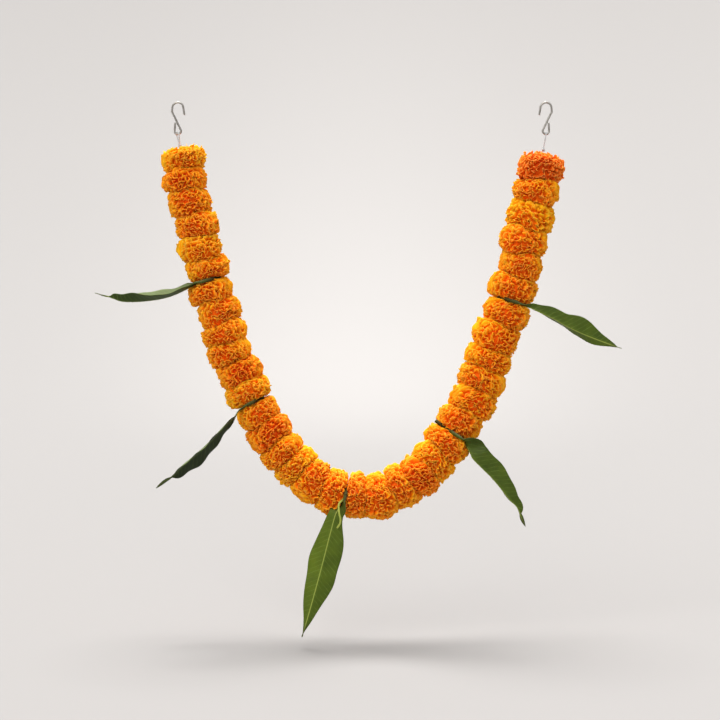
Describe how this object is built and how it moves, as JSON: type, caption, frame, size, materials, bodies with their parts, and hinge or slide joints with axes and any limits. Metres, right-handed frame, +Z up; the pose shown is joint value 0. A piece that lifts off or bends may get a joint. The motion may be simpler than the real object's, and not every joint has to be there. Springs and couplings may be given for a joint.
{
  "type": "marigold garland",
  "caption": "Catenary garland of tightly threaded marigold heads with mango leaves between the runs, on a string hung from two wire S-hooks.",
  "frame": {"origin": "seat of the left S-hook: the flat under the middle of its bow, which lies on the nail or rail", "axes": "+Z up, +X from the left hook to the right one, and the flowers face the viewer along -Y"},
  "size_m": [0.5765, 0.0632, 0.5889],
  "materials": {
    "petals_orange": "matt, velvety petal",
    "petals_deep": "matt, velvety petal",
    "petals_amber": "matt, velvety petal",
    "mango_leaf": "half-gloss leaf",
    "cotton_string": "twisted thread",
    "steel_wire": "drawn wire"
  },
  "bodies": {
    "root": {"marigold_01": "petals_amber", "marigold_02": "petals_deep", "marigold_03": "petals_orange", "marigold_04": "petals_orange", "marigold_05": "petals_amber", "marigold_06": "petals_orange", "marigold_07": "petals_orange", "marigold_08": "petals_orange", "marigold_09": "petals_orange", "marigold_10": "petals_orange", "marigold_11": "petals_deep", "marigold_12": "petals_amber", "marigold_13": "petals_orange", "marigold_14": "petals_deep", "marigold_15": "petals_orange", "marigold_16": "petals_amber", "marigold_17": "petals_orange", "marigold_18": "petals_orange", "marigold_19": "petals_orange", "marigold_20": "petals_orange", "marigold_21": "petals_orange", "marigold_22": "petals_deep", "marigold_23": "petals_amber", "marigold_24": "petals_orange", "marigold_25": "petals_orange", "marigold_26": "petals_orange", "marigold_27": "petals_orange", "marigold_28": "petals_orange", "marigold_29": "petals_orange", "marigold_30": "petals_orange", "marigold_31": "petals_orange", "marigold_32": "petals_orange", "marigold_33": "petals_orange", "marigold_34": "petals_amber", "marigold_35": "petals_orange", "marigold_36": "petals_deep", "mango_leaf_1": "mango_leaf", "mango_leaf_2": "mango_leaf", "mango_leaf_3": "mango_leaf", "mango_leaf_4": "mango_leaf", "mango_leaf_5": "mango_leaf", "string": "cotton_string", "s_hook_left": "steel_wire", "s_hook_right": "steel_wire"}
  },
  "joints": []
}
